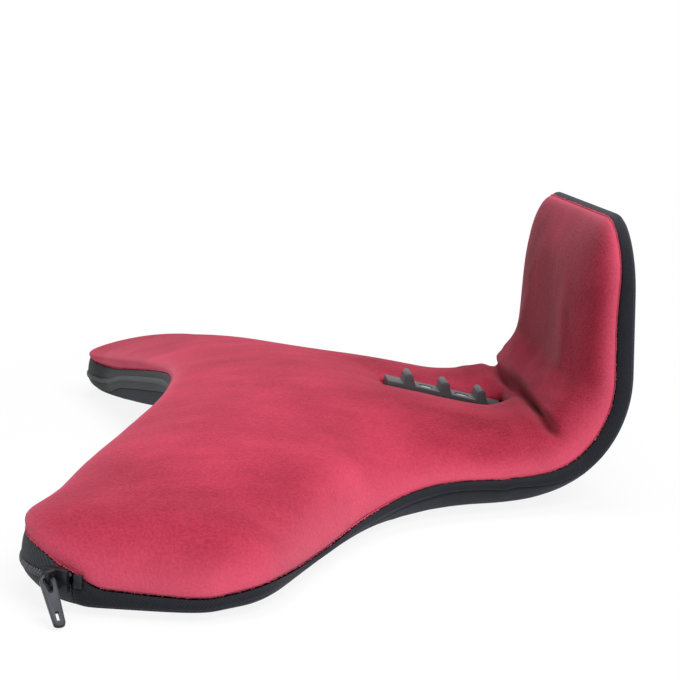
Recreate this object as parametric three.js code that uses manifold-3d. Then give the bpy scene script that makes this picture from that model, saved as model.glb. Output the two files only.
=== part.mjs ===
// Tablet cushion stand: a splayed lap cushion whose tail bends up as a backrest.
// Millimetres, +Z up. +X is the user's right, -Y is the user's side, and the cushion rests on Z = 0.
// The cushion is laid out flat, as (x, s, h): s runs from the leg tips to the tail, and h is the height
// above the underside. Past bendStart the underside curves up round a quarter circle.

import * as THREE from 'three';
import Module from 'manifold-3d';

// Plan of the cushion, right half, at its seams
const legTipX = 167;
const legTipS = -75;
const legTipRadius = 34;
const tipArcFrom = -15;
const tipArcTo = -140;
const notchS = -65;
const notchBayX = 35;
const notchBayS = -68.2;
const notchSideX = 70;
const notchSideS = -77;
const notchCornerX = 108;
const notchCornerS = -88.5;
const shoulderX = 208;
const shoulderS = -55;
const shoulderRound = 13;
const flankX = 157;
const flankS = -12;
const kneeX = 121;
const kneeS = 7;
const waistX = 101;
const waistS = 28;
const neckX = 92;
const neckS = 52;
const tailHalfWidth = 82;
const tailCorner = 28;
const backSpineMargin = 48;

// Bend and backrest
const bendStart = 63;
const bendRadius = 50;
const backHeight = 109;
const foldForward = 8;
const cutGap = 0.32;

// Padding heights: seams on the side, and the crown along the middle of each stretch
const legLowerSeam = 4.5;
const zipUpperSeam = 17;
const zipEndSeam = 13.2;
const notchLift = 20;
const notchLiftReach = 146;
const notchLiftRound = 26;
const legUpperSeam = 9;
const waistLowerSeam = 7;
const waistUpperSeam = 13.5;
const backLowerSeam = 5;
const backUpperSeam = 9.6;
const hubX = 0;
const hubS = -14;
const hubCrown = 41;
const legEndX = 166;
const legEndS = -68;
const legCrown = 33.5;
const slopeStart = 18;
const slopeCrown = 40.5;
const bendCrown = 29.5;
const backFootCrown = 20;
const backTopCrown = 15.5;
const edgeRound = 30;
const sideBulge = 1.6;
const notchRound = 15;
const notchMiddleRound = 7;
const notchBulge = 1.5;
const shoulderShare = 0.85;
const notchShoulderShare = 0.95;
const undersideRound = 14;
const scoopShare = 2.2;

// Cloth, foam and stays
const velourThickness = 2;
const bandThickness = 1.5;
const undersideThickness = 1.6;
const foamInset = 3.2;
const layerGap = 0.3;
const foamSplit = 11.3;
const stayWidth = 20;
const stayThickness = 2;
const stayX = 42;
const stayFrom = -8;
const stayTopMargin = 22;

// Zip along the leg tips and the notch
const coilHeight = 2.6;
const coilProud = 1;
const zipGap = 0.3;
const stopLength = 3;
const stopProud = 1.5;
const stopRise = 0.5;
const sliderAngle = -37;
const sliderLength = 10;
const sliderHeight = 6.6;
const sliderPlate = 1.5;
const sliderClear = 0.75;
const bridgeRise = 3.4;
const bridgeBar = 1.1;
const bridgeWidth = 1.4;
const bridgeSpan = 6.4;
const pullLength = 18;
const pullEyeRadius = 2.5;
const pullEndWidth = 5.4;
const pullThickness = 1.2;
const pullTurn = 55;
const pullHole = 1.5;
const pullSlotLength = 5;
const pullWindowLength = 3.6;
const pullWindowWidth = 1.6;
const pullWindowEdge = 2;
const pullFloorGap = 0.5;

// Rack that a tablet's lower edge stands in
const rackS = 48.5;
const rackSink = 2;
const rackLength = 50;
const rackWidth = 14;
const rackBarHeight = 3.6;
const prongCount = 3;
const prongPitch = 15.6;
const prongHeight = 4.6;
const prongFoot = 5.2;
const prongTip = 3.4;
const prongLean = 0.8;
const pocketWall = 1.4;
const pocketClear = 1.6;
const plateThickness = 2;
const plateMargin = 6;
const screwRadius = 1.5;
const screwHeadRadius = 2.7;
const screwHeadHeight = 1.5;
const screwClear = 0.3;
const screwBite = 1.6;

// Finishes
const velourRed = new THREE.MeshStandardMaterial({ color: 0xc23a55, roughness: 0.95 });
const knitBlack = new THREE.MeshStandardMaterial({ color: 0x1f2026, roughness: 0.85 });
const zipBlack = new THREE.MeshStandardMaterial({ color: 0x2a2d35, roughness: 0.6 });
const foamCream = new THREE.MeshStandardMaterial({ color: 0xe9e2cf, roughness: 1 });
const gunmetal = new THREE.MeshStandardMaterial({ color: 0x5a5f6b, roughness: 0.35, metalness: 0.9 });
const aluminium = new THREE.MeshStandardMaterial({ color: 0xb9bcc1, roughness: 0.4, metalness: 1 });
const rackGrey = new THREE.MeshStandardMaterial({ color: 0x474b4e, roughness: 0.55 });

const wasm = await Module();
wasm.setup();

const object = new THREE.Group();
const rad = THREE.MathUtils.degToRad;
const lerp = THREE.MathUtils.lerp;

function addPiece(name, geometry, material) {
  const mesh = new THREE.Mesh(geometry, material);
  mesh.name = name;
  object.add(mesh);
  return mesh;
}

// Triangles with shared corners

class Skin {
  constructor() {
    this.points = [];
    this.index = [];
    this.known = new Map();
  }

  corner(p) {
    const key = [p.x, p.y, p.z].map((value) => Math.round(value * 2000)).join(' ');
    if (!this.known.has(key)) {
      this.known.set(key, this.points.length / 3);
      this.points.push(p.x, p.y, p.z);
    }
    return this.known.get(key);
  }

  triangle(a, b, c) {
    const [i, j, k] = [this.corner(a), this.corner(b), this.corner(c)];
    if (i !== j && j !== k && k !== i) this.index.push(i, j, k);
  }

  quad(a, b, c, d) {
    this.triangle(a, b, c);
    this.triangle(a, c, d);
  }

  // A wall between two lines that may have different numbers of points; where both could go on, the
  // first line does, or the second if that is asked for
  strip(lineA, lineB, secondFirst = false) {
    let i = 0;
    let j = 0;
    const lastA = lineA.length - 1;
    const lastB = lineB.length - 1;
    while (i < lastA || j < lastB) {
      const ahead = (i + 1) / lastA - (j + 1) / lastB;
      const first = ahead < 0 || (ahead === 0 && !secondFirst);
      if (j === lastB || (i < lastA && first)) {
        this.triangle(lineA[i], lineA[i + 1], lineB[j]);
        i += 1;
      } else {
        this.triangle(lineA[i], lineB[j + 1], lineB[j]);
        j += 1;
      }
    }
  }

  geometry() {
    const geometry = new THREE.BufferGeometry();
    geometry.setAttribute('position', new THREE.Float32BufferAttribute(this.points, 3));
    geometry.setIndex(this.index);
    return geometry;
  }
}

// A closed tube through a row of sections with the same number of corners
function loft(sections) {
  const skin = new Skin();
  for (let i = 0; i + 1 < sections.length; i += 1) {
    const near = sections[i];
    const far = sections[i + 1];
    near.forEach((p, k) => {
      const next = (k + 1) % near.length;
      skin.quad(p, near[next], far[next], far[k]);
    });
  }
  const first = sections[0];
  const last = sections[sections.length - 1];
  for (let k = 1; k + 1 < first.length; k += 1) {
    skin.triangle(first[0], first[k + 1], first[k]);
    skin.triangle(last[0], last[k], last[k + 1]);
  }
  return skin.geometry();
}

// Joins and cuts of closed bodies

function toSolid(geometry, matrix) {
  const source = geometry.index ? geometry.toNonIndexed() : geometry.clone();
  if (matrix) source.applyMatrix4(matrix);
  const position = source.getAttribute('position');
  const skin = new Skin();
  const p = [0, 1, 2].map(() => new THREE.Vector3());
  for (let i = 0; i < position.count; i += 3) {
    p.forEach((corner, k) => corner.fromBufferAttribute(position, i + k));
    skin.triangle(p[0], p[1], p[2]);
  }
  return new wasm.Manifold(new wasm.Mesh({
    numProp: 3,
    vertProperties: new Float32Array(skin.points),
    triVerts: new Uint32Array(skin.index),
  }));
}

function fromSolid(solid) {
  const mesh = solid.getMesh();
  const geometry = new THREE.BufferGeometry();
  geometry.setAttribute('position', new THREE.Float32BufferAttribute(mesh.vertProperties, 3));
  geometry.setIndex(Array.from(mesh.triVerts));
  return geometry;
}

function boxBetween(x0, x1, y0, y1, z0, z1) {
  const box = new THREE.BoxGeometry(x1 - x0, y1 - y0, z1 - z0);
  return box.translate((x0 + x1) / 2, (y0 + y1) / 2, (z0 + z1) / 2);
}

// Flat layout to bent shape

const bendLength = bendRadius * Math.PI / 2;
const bendMiddle = bendStart + bendLength / 2;
const bendEnd = bendStart + bendLength;
const tailEnd = bendEnd + backHeight - bendRadius;

function place(x, s, h) {
  if (s <= bendStart) return new THREE.Vector3(x, s, h);
  const turn = Math.min((s - bendStart) / bendRadius, Math.PI / 2);
  const reach = bendRadius - h;
  const rise = Math.max(s - bendEnd, 0);
  return new THREE.Vector3(x, bendStart + reach * Math.sin(turn), bendRadius - reach * Math.cos(turn) + rise);
}

// The cut across the bend opens upwards by half of the forward fold on each side
function cutS(h, side) {
  const open = cutGap / 2 + h * Math.tan(rad(foldForward / 2));
  return bendMiddle + side * bendRadius * open / (bendRadius - h);
}

// Outline of the right half, as ribs: each runs from a point on the seam in to the middle of its stretch

function onTipArc(angle, radius = legTipRadius) {
  const turn = rad(angle);
  return [legTipX + radius * Math.cos(turn), legTipS + radius * Math.sin(turn)];
}

function curveThrough(points) {
  return new THREE.SplineCurve(points.map(([x, s]) => new THREE.Vector2(x, s)));
}

const innerEdge = curveThrough([
  onTipArc(tipArcTo),
  [notchCornerX, notchCornerS],
  [notchSideX, notchSideS],
  [notchBayX, notchBayS],
  [0, notchS],
]);

const outerEdge = curveThrough([
  onTipArc(tipArcFrom),
  [shoulderX, shoulderS],
  [shoulderX - shoulderRound / 5, shoulderS + shoulderRound],
  [shoulderX - shoulderRound, shoulderS + 2 * shoulderRound],
  [flankX, flankS],
  [kneeX, kneeS],
  [waistX, waistS],
  [neckX, neckS],
  [tailHalfWidth, bendMiddle],
]);

// Distance along a curve where it passes a given s
function shareAtS(curve, s) {
  let low = 0.5;
  let high = 1;
  for (let step = 0; step < 40; step += 1) {
    const middle = (low + high) / 2;
    if (curve.getPointAt(middle).y < s) low = middle;
    else high = middle;
  }
  return (low + high) / 2;
}

const legSteps = 7;
const heelSteps = 5;
const heelShare = 0.34;
const tipSteps = 10;
const tipFallFrom = 0.55;
const bodySteps = 5;
const bendSteps = 3;
const hubShare = shareAtS(outerEdge, waistS);
const bendShare = shareAtS(outerEdge, bendStart);

function smooth(t) {
  const u = THREE.MathUtils.clamp(t, 0, 1);
  return u * u * (3 - 2 * u);
}

function crownOnBody(s) {
  if (s <= slopeStart) return lerp(hubCrown, slopeCrown, smooth((s - hubS) / (slopeStart - hubS)));
  if (s <= bendStart) return lerp(slopeCrown, bendCrown, (s - slopeStart) / (bendStart - slopeStart));
  if (s <= bendMiddle) return bendCrown;
  if (s <= bendEnd) return lerp(bendCrown, backFootCrown, smooth((s - bendMiddle) / (bendEnd - bendMiddle)));
  return lerp(backFootCrown, backTopCrown, (s - bendEnd) / (tailEnd - bendEnd));
}

function legSpine(t) {
  return { x: lerp(hubX, legEndX, t), s: lerp(hubS, legEndS, t), crown: lerp(hubCrown, legCrown, t) };
}

function bodySpine(s) {
  return { x: 0, s, crown: crownOnBody(s) };
}

// Seam heights and edge rounding of the side with the zip, which is lifted over the lap towards the
// notch's middle, and of the plain side
function zipSide(x) {
  const span = notchLiftReach - Math.hypot(x, notchLiftRound);
  const lift = notchLift * Math.max(span / (notchLiftReach - notchLiftRound), 0);
  return {
    lower: legLowerSeam + lift,
    upper: zipUpperSeam + lift,
    lift,
    zip: true,
    round: lerp(notchRound, notchMiddleRound, lift / notchLift),
    bulge: notchBulge * (1 - lift / notchLift),
    share: notchShoulderShare,
  };
}

function plainSide(lower, upper) {
  return { lower, upper, lift: 0, zip: false, round: edgeRound, bulge: sideBulge, share: shoulderShare };
}

function bentSide(s) {
  const toBack = smooth((s - bendStart) / bendLength);
  return plainSide(lerp(waistLowerSeam, backLowerSeam, toBack), lerp(waistUpperSeam, backUpperSeam, toBack));
}

const legRibs = [];
const bodyRibs = [];
const backRibs = [];

// From the notch's middle to the leg's tip
for (let k = 0; k < legSteps; k += 1) {
  const t = k / legSteps;
  const p = innerEdge.getPointAt(1 - t);
  legRibs.push({ x: p.x, s: p.y, spine: legSpine(t), ...zipSide(p.x) });
}
// Round the tip, then along the leg's outer side to the waist
for (let k = 0; k <= tipSteps; k += 1) {
  const [x, s] = onTipArc(lerp(tipArcTo, tipArcFrom, k / tipSteps));
  const outerness = smooth(k / tipSteps * 1.3 - 0.2);
  const round = lerp(notchRound, edgeRound, outerness);
  const bulge = lerp(notchBulge, sideBulge, outerness);
  const share = lerp(notchShoulderShare, shoulderShare, outerness);
  const side = zipSide(x);
  const fall = smooth((k / tipSteps - tipFallFrom) / (1 - tipFallFrom));
  const zip = k < tipSteps;
  const upper = zip ? side.upper - fall * (zipUpperSeam - zipEndSeam) : legUpperSeam;
  legRibs.push({ x, s, spine: legSpine(1), ...side, zip, upper, round, bulge, share });
}
for (let k = 1; k <= heelSteps; k += 1) {
  const p = outerEdge.getPointAt(heelShare * hubShare * k / heelSteps);
  legRibs.push({ x: p.x, s: p.y, spine: legSpine(1), ...plainSide(legLowerSeam, legUpperSeam) });
}
for (let k = legSteps - 1; k >= 0; k -= 1) {
  const t = k / legSteps;
  const p = outerEdge.getPointAt(lerp(1, heelShare, t) * hubShare);
  const toWaist = smooth(1 - t * 1.6);
  const lower = lerp(legLowerSeam, waistLowerSeam, toWaist);
  const upper = lerp(legUpperSeam, waistUpperSeam, toWaist);
  legRibs.push({ x: p.x, s: p.y, spine: legSpine(t), ...plainSide(lower, upper) });
}
// Along the waist to the bend, then to the cut across the bend
for (let k = 1; k <= bodySteps; k += 1) {
  const t = k / bodySteps;
  const p = outerEdge.getPointAt(lerp(hubShare, bendShare, t));
  bodyRibs.push({ x: p.x, s: p.y, spine: bodySpine(lerp(hubS, bendStart, t)), ...bentSide(p.y) });
}
for (let k = 1; k <= bendSteps; k += 1) {
  const s = lerp(bendStart, bendMiddle, k / bendSteps);
  const p = outerEdge.getPointAt(shareAtS(outerEdge, s));
  bodyRibs.push({ x: k === bendSteps ? tailHalfWidth : p.x, s, spine: bodySpine(s), ...bentSide(s) });
}
bodyRibs[bodyRibs.length - 1].cut = -1;

// Backrest: up the side, round the corner and across the top
const backSpineEnd = tailEnd - backSpineMargin;
const backSteps = bendSteps + 1;
for (let k = 0; k <= backSteps; k += 1) {
  const s = k <= bendSteps ? lerp(bendMiddle, bendEnd, k / bendSteps) : backSpineEnd;
  backRibs.push({ x: tailHalfWidth, s, spine: bodySpine(s), ...bentSide(s) });
}
backRibs[0].cut = 1;
const cornerSteps = 4;
for (let k = 0; k <= cornerSteps; k += 1) {
  const turn = rad(90 * k / cornerSteps);
  const x = tailHalfWidth - tailCorner + tailCorner * Math.cos(turn);
  const s = tailEnd - tailCorner + tailCorner * Math.sin(turn);
  backRibs.push({ x, s, spine: bodySpine(backSpineEnd), ...bentSide(s) });
}
const topSteps = 3;
for (let k = 1; k <= topSteps; k += 1) {
  const x = lerp(tailHalfWidth - tailCorner, 0, k / topSteps);
  backRibs.push({ x, s: tailEnd, spine: bodySpine(backSpineEnd), ...bentSide(tailEnd) });
}

// Both halves, in one order round the outline, with the outward direction at each rib
function mirrored(rib) {
  return { ...rib, x: -rib.x, spine: { ...rib.spine, x: -rib.spine.x } };
}

function bothSides(half, middleFirst) {
  const other = half.filter((rib) => rib.x > 0).map(mirrored);
  return middleFirst ? [...other.reverse(), ...half] : [...half, ...other.reverse()];
}

function setOutward(ribs) {
  ribs.forEach((rib, i) => {
    const before = ribs[Math.max(i - 1, 0)];
    const after = ribs[Math.min(i + 1, ribs.length - 1)];
    const along = new THREE.Vector2(after.x - before.x, after.s - before.s).normalize();
    rib.out = new THREE.Vector2(along.y, -along.x);
  });
  return ribs;
}

// Seen from above, both lists run anticlockwise round the cushion
const baseRibs = setOutward(bothSides([...legRibs, ...bodyRibs], true));
const tailRibs = setOutward(bothSides(backRibs, false));

// A point on a rib, d in from the seam and at height h
const squareIn = 4;

function onRib(rib, d, h) {
  const square = Math.min(d, squareIn);
  const x = rib.x - rib.out.x * square;
  const s = rib.s - rib.out.y * square;
  const length = Math.hypot(rib.spine.x - x, rib.spine.s - s);
  const t = Math.min((d - square) / length, 1);
  const onS = rib.cut ? cutS(h, rib.cut) : lerp(s, rib.spine.s, t);
  return place(lerp(x, rib.spine.x, t), onS, h);
}

function ribLength(rib) {
  const x = rib.x - rib.out.x * squareIn;
  const s = rib.s - rib.out.y * squareIn;
  return squareIn + Math.hypot(rib.spine.x - x, rib.spine.s - s);
}

// The padded side: a rounded shoulder from the seam, then a gentle rise to the crown
const shoulderTurns = [0, 14, 30, 50, 70, 90];
const shoulderLimit = 0.85;

function crownLine(rib, inset, lowest = -Infinity) {
  const length = ribLength(rib);
  const reach = Math.min(rib.round, length * shoulderLimit);
  const full = rib.spine.crown;
  const shoulder = rib.upper + (full - rib.upper) * rib.share;
  const rise = shoulder - rib.upper;
  const line = shoulderTurns.map((degrees) => {
    const turn = rad(degrees);
    const lean = new THREE.Vector2(Math.cos(turn) / reach, Math.sin(turn) / rise).normalize();
    const bulge = rib.bulge * Math.sin(2 * turn);
    const d = reach * (1 - Math.cos(turn)) - bulge + inset * lean.x;
    return [d, rib.upper + rise * Math.sin(turn) - inset * lean.y];
  });
  line.push([lerp(reach, length, 0.5), lerp(shoulder, full, 0.75) - inset]);
  line.push([length, full - inset]);
  // Points below the lowest height move along to where the line crosses it
  const over = line.findIndex(([, h]) => h >= lowest);
  if (over > 0) {
    const [before, after] = [line[over - 1], line[over]];
    const d = lerp(before[0], after[0], (lowest - before[1]) / (after[1] - before[1]));
    line.fill([d, lowest], 0, over);
  }
  return line.map(([d, h]) => onRib(rib, d, h));
}

// The underside: rolled up to the lower seam, over a longer way where that is lifted, and flat within
const rollPlace = 0.35;
const rollHeight = 0.36;
const rollLimit = 0.9;

function rollReach(rib) {
  return Math.min(undersideRound + rib.lift * scoopShare, ribLength(rib) * rollLimit);
}

function undersideLine(rib, raise) {
  const low = rib.lower - undersideThickness;
  const reach = rollReach(rib);
  return [
    onRib(rib, 0, low + raise),
    onRib(rib, reach * rollPlace, low * rollHeight + raise),
    onRib(rib, reach, raise),
    onRib(rib, ribLength(rib), raise),
  ];
}

// The split between the layers of foam, level but for the lift
function splitLine(rib, h) {
  const reach = rollReach(rib);
  const start = lerp(1, rollHeight, foamInset / (reach * rollPlace));
  return [
    onRib(rib, foamInset, h + rib.lift * start),
    onRib(rib, reach * rollPlace, h + rib.lift * rollHeight),
    onRib(rib, reach, h),
    onRib(rib, ribLength(rib), h),
  ];
}

// A closed layer between an upper and a lower line on every rib
function layer(ribs, upperLine, lowerLine) {
  const skin = new Skin();
  const upper = ribs.map(upperLine);
  const lower = ribs.map(lowerLine);
  for (let i = 0; i + 1 < ribs.length; i += 1) {
    const onLeft = ribs[i].x + ribs[i + 1].x < 0;
    skin.strip(upper[i + 1], upper[i], onLeft);
    skin.strip(lower[i], lower[i + 1], !onLeft);
    skin.quad(lower[i][0], lower[i + 1][0], upper[i + 1][0], upper[i][0]);
  }
  const last = ribs.length - 1;
  skin.strip(upper[0], lower[0]);
  skin.strip(lower[last], upper[last]);
  return skin.geometry();
}

// A flat strip of cloth along the side, between two heights that may change from rib to rib
function sideStrip(ribs, outside, inside, bottomAt, topAt) {
  return loft(ribs.map((rib) => {
    const bottom = bottomAt(rib);
    const top = topAt(rib);
    const corner = (d, h) => onSide(rib, d, h);
    return [corner(outside, bottom), corner(inside, bottom), corner(inside, top), corner(outside, top)];
  }));
}

function onSide(rib, d, h) {
  const s = rib.cut ? cutS(h, rib.cut) : rib.s - rib.out.y * d;
  return place(rib.x - rib.out.x * d, s, h);
}

// Covers and foam of the base and of the backrest

const liner = velourThickness + layerGap;
const padBottom = foamSplit + layerGap;

const velourLine = (rib) => crownLine(rib, 0);
const velourBackLine = (rib) => crownLine(rib, velourThickness);
const foamTopLine = (rib) => crownLine(rib, liner, padBottom + layerGap);
const undersideFace = (rib) => undersideLine(rib, 0);
const undersideBack = (rib) => undersideLine(rib, undersideThickness);

function foamBottomLine(rib) {
  const resting = undersideLine(rib, undersideThickness + layerGap);
  return [onRib(rib, foamInset, rib.lower + layerGap), ...resting.slice(1)];
}

const bandBottom = (rib) => rib.lower + layerGap;
const bandTop = (rib) => rib.upper - layerGap;

// Bendable stays: flat strips laid in grooves between the two layers of foam

function stayRun(x, fromS, toS, cut, spread) {
  const low = foamSplit - stayThickness - spread;
  const high = foamSplit + spread;
  const half = stayWidth / 2 + spread;
  const bendPlaces = [0, 1, 2, 3, 4, 5, 6].map((k) => bendStart + bendLength * k / 6);
  const within = bendPlaces.filter((s) => s > fromS + 1 && s < toS - 1);
  const places = [fromS, ...within, toS];
  return loft(places.map((s, i) => {
    const atCut = cut === -1 ? i === places.length - 1 : cut === 1 && i === 0;
    const corner = (side, h) => place(x + side * half, atCut ? cutS(h, cut) : s, h);
    return [corner(-1, low), corner(-1, high), corner(1, high), corner(1, low)];
  }));
}

const stayTop = tailEnd - stayTopMargin;
const groovePast = 8;

function foamWithGrooves(ribs, fromS, toS) {
  let foam = toSolid(layer(ribs, (rib) => splitLine(rib, foamSplit), foamBottomLine));
  for (const x of [-stayX, stayX]) {
    foam = foam.subtract(toSolid(stayRun(x, fromS, toS, 0, layerGap)));
  }
  return fromSolid(foam);
}

// Rack, its lined pocket, the plate under it and the screws, in a frame that lies along the slope

const slope = Math.atan((slopeCrown - bendCrown) / (bendStart - slopeStart));
const rackFloor = crownOnBody(rackS) - (rackSink + rackBarHeight) / Math.cos(slope);
const rackFrame = new THREE.Matrix4().makeRotationX(-slope).setPosition(0, rackS, rackFloor);

const pocketInnerLength = rackLength + 2 * pocketClear;
const pocketInnerWidth = rackWidth + 2 * pocketClear;
const pocketTop = rackBarHeight + rackSink - layerGap;
const pocketFloor = -layerGap - pocketWall;
const plateTop = pocketFloor - layerGap;
const plateBottom = plateTop - plateThickness;
const screwPlaces = [-prongPitch / 2, prongPitch / 2];
const screwTip = plateTop - screwBite;
const screwSeat = rackBarHeight - screwHeadHeight - layerGap;

function centredBox(width, length, z0, z1) {
  return boxBetween(-width / 2, width / 2, -length / 2, length / 2, z0, z1);
}

function standingRod(radius, y, z0, z1) {
  const rod = new THREE.CylinderGeometry(radius, radius, z1 - z0, 16);
  return rod.rotateX(Math.PI / 2).translate(0, y, (z0 + z1) / 2);
}

function drillForScrews(solid, radius, z0, z1) {
  return screwPlaces.reduce((left, y) => left.subtract(toSolid(standingRod(radius, y, z0, z1))), solid);
}

function rackProfile() {
  const shape = new THREE.Shape();
  const half = rackLength / 2;
  shape.moveTo(-half, 0);
  shape.lineTo(half, 0);
  shape.lineTo(half, rackBarHeight);
  for (let k = prongCount - 1; k >= 0; k -= 1) {
    const y = (k - (prongCount - 1) / 2) * prongPitch;
    const top = rackBarHeight + prongHeight - prongTip / 2;
    shape.lineTo(y + prongFoot / 2, rackBarHeight);
    shape.lineTo(y - prongLean + prongTip / 2, top);
    shape.absarc(y - prongLean, top, prongTip / 2, 0, Math.PI, false);
    shape.lineTo(y - prongFoot / 2, rackBarHeight);
  }
  shape.lineTo(-half, rackBarHeight);
  return shape;
}

function rackBar() {
  const bar = new THREE.ExtrudeGeometry(rackProfile(), { depth: rackWidth, bevelEnabled: false, curveSegments: 6 });
  // The profile is drawn in (y, z) and pushed along x
  const turn = new THREE.Matrix4().set(0, 0, 1, -rackWidth / 2, 1, 0, 0, 0, 0, 1, 0, 0, 0, 0, 0, 1);
  const drilled = drillForScrews(toSolid(bar, turn), screwRadius + screwClear, -1, rackBarHeight + 1);
  const head = screwHeadRadius + screwClear;
  return fromSolid(drillForScrews(drilled, head, screwSeat - screwClear, rackBarHeight + 1));
}

function rackPocket() {
  const wall = 2 * pocketWall;
  const outer = toSolid(centredBox(pocketInnerWidth + wall, pocketInnerLength + wall, pocketFloor, pocketTop));
  const hollow = outer.subtract(toSolid(centredBox(pocketInnerWidth, pocketInnerLength, -layerGap, pocketTop + 1)));
  return fromSolid(drillForScrews(hollow, screwRadius + screwClear, pocketFloor - 1, 0));
}

function rackPlate() {
  const plate = toSolid(centredBox(rackWidth + 2 * plateMargin, rackLength + 2 * plateMargin, plateBottom, plateTop));
  return fromSolid(drillForScrews(plate, screwRadius + screwClear / 2, plateBottom - 1, plateTop + 1));
}

function rackScrew(y) {
  const profile = [
    [0, screwTip],
    [screwRadius, screwTip],
    [screwRadius, screwSeat],
    [screwHeadRadius, screwSeat],
    [screwHeadRadius, screwSeat + screwHeadHeight],
    [0, screwSeat + screwHeadHeight],
  ];
  const lathe = new THREE.LatheGeometry(profile.map(([r, z]) => new THREE.Vector2(r, z)), 16);
  return lathe.rotateX(Math.PI / 2).translate(0, y, 0);
}

// Room for the pocket and the plate in the cover and in the foam
function rackRoom() {
  const spread = 2 * (pocketWall + layerGap);
  const above = hubCrown;
  const mouth = centredBox(pocketInnerWidth + spread, pocketInnerLength + spread, pocketFloor - layerGap, above);
  const platePlay = 2 * (plateMargin + layerGap);
  const under = centredBox(
    rackWidth + platePlay,
    rackLength + platePlay,
    plateBottom - layerGap,
    plateTop + layerGap,
  );
  return toSolid(mouth, rackFrame).add(toSolid(under, rackFrame));
}

function inRack(name, geometry, material) {
  addPiece(name, geometry.applyMatrix4(rackFrame), material);
}

// Zip: tape and coil round the leg tips and the notch, stops at its ends, slider and pull

const zipMiddle = (legLowerSeam + zipUpperSeam) / 2;
const coilBottom = (rib) => zipMiddle + rib.lift - coilHeight / 2;
const coilTop = (rib) => zipMiddle + rib.lift + coilHeight / 2;
const zipEnds = baseRibs.flatMap((rib, i) => (rib.zip ? [i] : []));
const firstZip = zipEnds[0];
const lastZip = zipEnds[zipEnds.length - 1];
const zipRibs = baseRibs.slice(firstZip, lastZip + 1);
const leftBandRibs = baseRibs.slice(0, firstZip + 1);
const rightBandRibs = baseRibs.slice(lastZip);

const zipEndAngle = lerp(tipArcTo, tipArcFrom, (tipSteps - 1) / tipSteps);

// The plain band starts just past the zip
function startPastZip(ribs, zipAtEnd) {
  const i = zipAtEnd ? ribs.length - 1 : 0;
  const inner = ribs[zipAtEnd ? i - 1 : 1];
  const end = ribs[i];
  const t = layerGap / Math.hypot(inner.x - end.x, inner.s - end.s);
  const moved = { ...end, x: lerp(end.x, inner.x, t), s: lerp(end.s, inner.s, t) };
  return ribs.map((rib, k) => (k === i ? moved : rib));
}

// A frame on the leg's tip: x points out of the cushion, y along the zip, z up from the coil's middle
function tipFrame(angle, side) {
  const [x, s] = onTipArc(angle);
  const turn = side > 0 ? rad(angle) : Math.PI - rad(angle);
  return new THREE.Matrix4().makeRotationZ(turn).setPosition(side * x, s, zipMiddle);
}

function zipStop(side) {
  const from = side * layerGap;
  const to = side * (layerGap + stopLength);
  const half = coilHeight / 2 + stopProud / 2;
  const stop = boxBetween(layerGap + stopRise, layerGap + stopRise + stopProud,
    Math.min(from, to), Math.max(from, to), -half, half);
  return stop.applyMatrix4(tipFrame(zipEndAngle, side));
}

function zipSlider() {
  const face = coilProud + sliderClear;
  const front = face + sliderPlate;
  const halfLength = sliderLength / 2;
  const halfHeight = sliderHeight / 2;
  const lipFrom = coilHeight / 2 + sliderClear / 2;
  const top = front + bridgeRise;
  const halfSpan = bridgeSpan / 2;
  const halfBridge = bridgeWidth / 2;
  const boxes = [
    boxBetween(face, front, -halfLength, halfLength, -halfHeight, halfHeight),
    boxBetween(top - bridgeBar, top, -halfBridge, halfBridge, -halfSpan, halfSpan),
  ];
  for (const up of [-1, 1]) {
    const lip = [up * lipFrom, up * halfHeight].sort((a, b) => a - b);
    boxes.push(boxBetween(sliderClear / 2, front, -halfLength * 0.7, halfLength * 0.7, lip[0], lip[1]));
    const post = [up * (halfSpan - bridgeBar), up * halfSpan].sort((a, b) => a - b);
    boxes.push(boxBetween(face, top, -halfBridge, halfBridge, post[0], post[1]));
  }
  const whole = boxes.map((box) => toSolid(box)).reduce((a, b) => a.add(b));
  return fromSolid(whole).applyMatrix4(tipFrame(sliderAngle, 1));
}

function zipPull() {
  const halfEnd = pullEndWidth / 2;
  const tab = new THREE.Shape();
  tab.absarc(0, 0, pullEyeRadius, Math.PI / 2, -Math.PI / 2, false);
  tab.lineTo(pullLength - halfEnd / 2, -halfEnd);
  tab.quadraticCurveTo(pullLength, -halfEnd, pullLength, 0);
  tab.quadraticCurveTo(pullLength, halfEnd, pullLength - halfEnd / 2, halfEnd);
  const eye = new THREE.Path();
  eye.absarc(0, 0, pullHole, Math.PI / 2, -Math.PI / 2, false);
  eye.lineTo(pullSlotLength, -pullHole / 2);
  eye.lineTo(pullSlotLength, pullHole / 2);
  const windowTo = pullLength - pullWindowEdge;
  const windowHalf = pullWindowWidth / 2;
  const window = new THREE.Path();
  window.moveTo(windowTo - pullWindowLength, -windowHalf);
  window.lineTo(windowTo, -windowHalf);
  window.lineTo(windowTo, windowHalf);
  window.lineTo(windowTo - pullWindowLength, windowHalf);
  tab.holes.push(eye, window);
  const flat = new THREE.ExtrudeGeometry(tab, { depth: pullThickness, bevelEnabled: false, curveSegments: 6 });
  const droop = Math.asin((zipMiddle - pullFloorGap - pullThickness / 2) / pullLength);
  const pivot = coilProud + sliderClear + sliderPlate + bridgeRise - bridgeBar / 2;
  const hung = flat.translate(0, 0, -pullThickness / 2).rotateY(droop).rotateZ(rad(pullTurn));
  return hung.translate(pivot, 0, 0).applyMatrix4(tipFrame(sliderAngle, 1));
}

// Base

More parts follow.
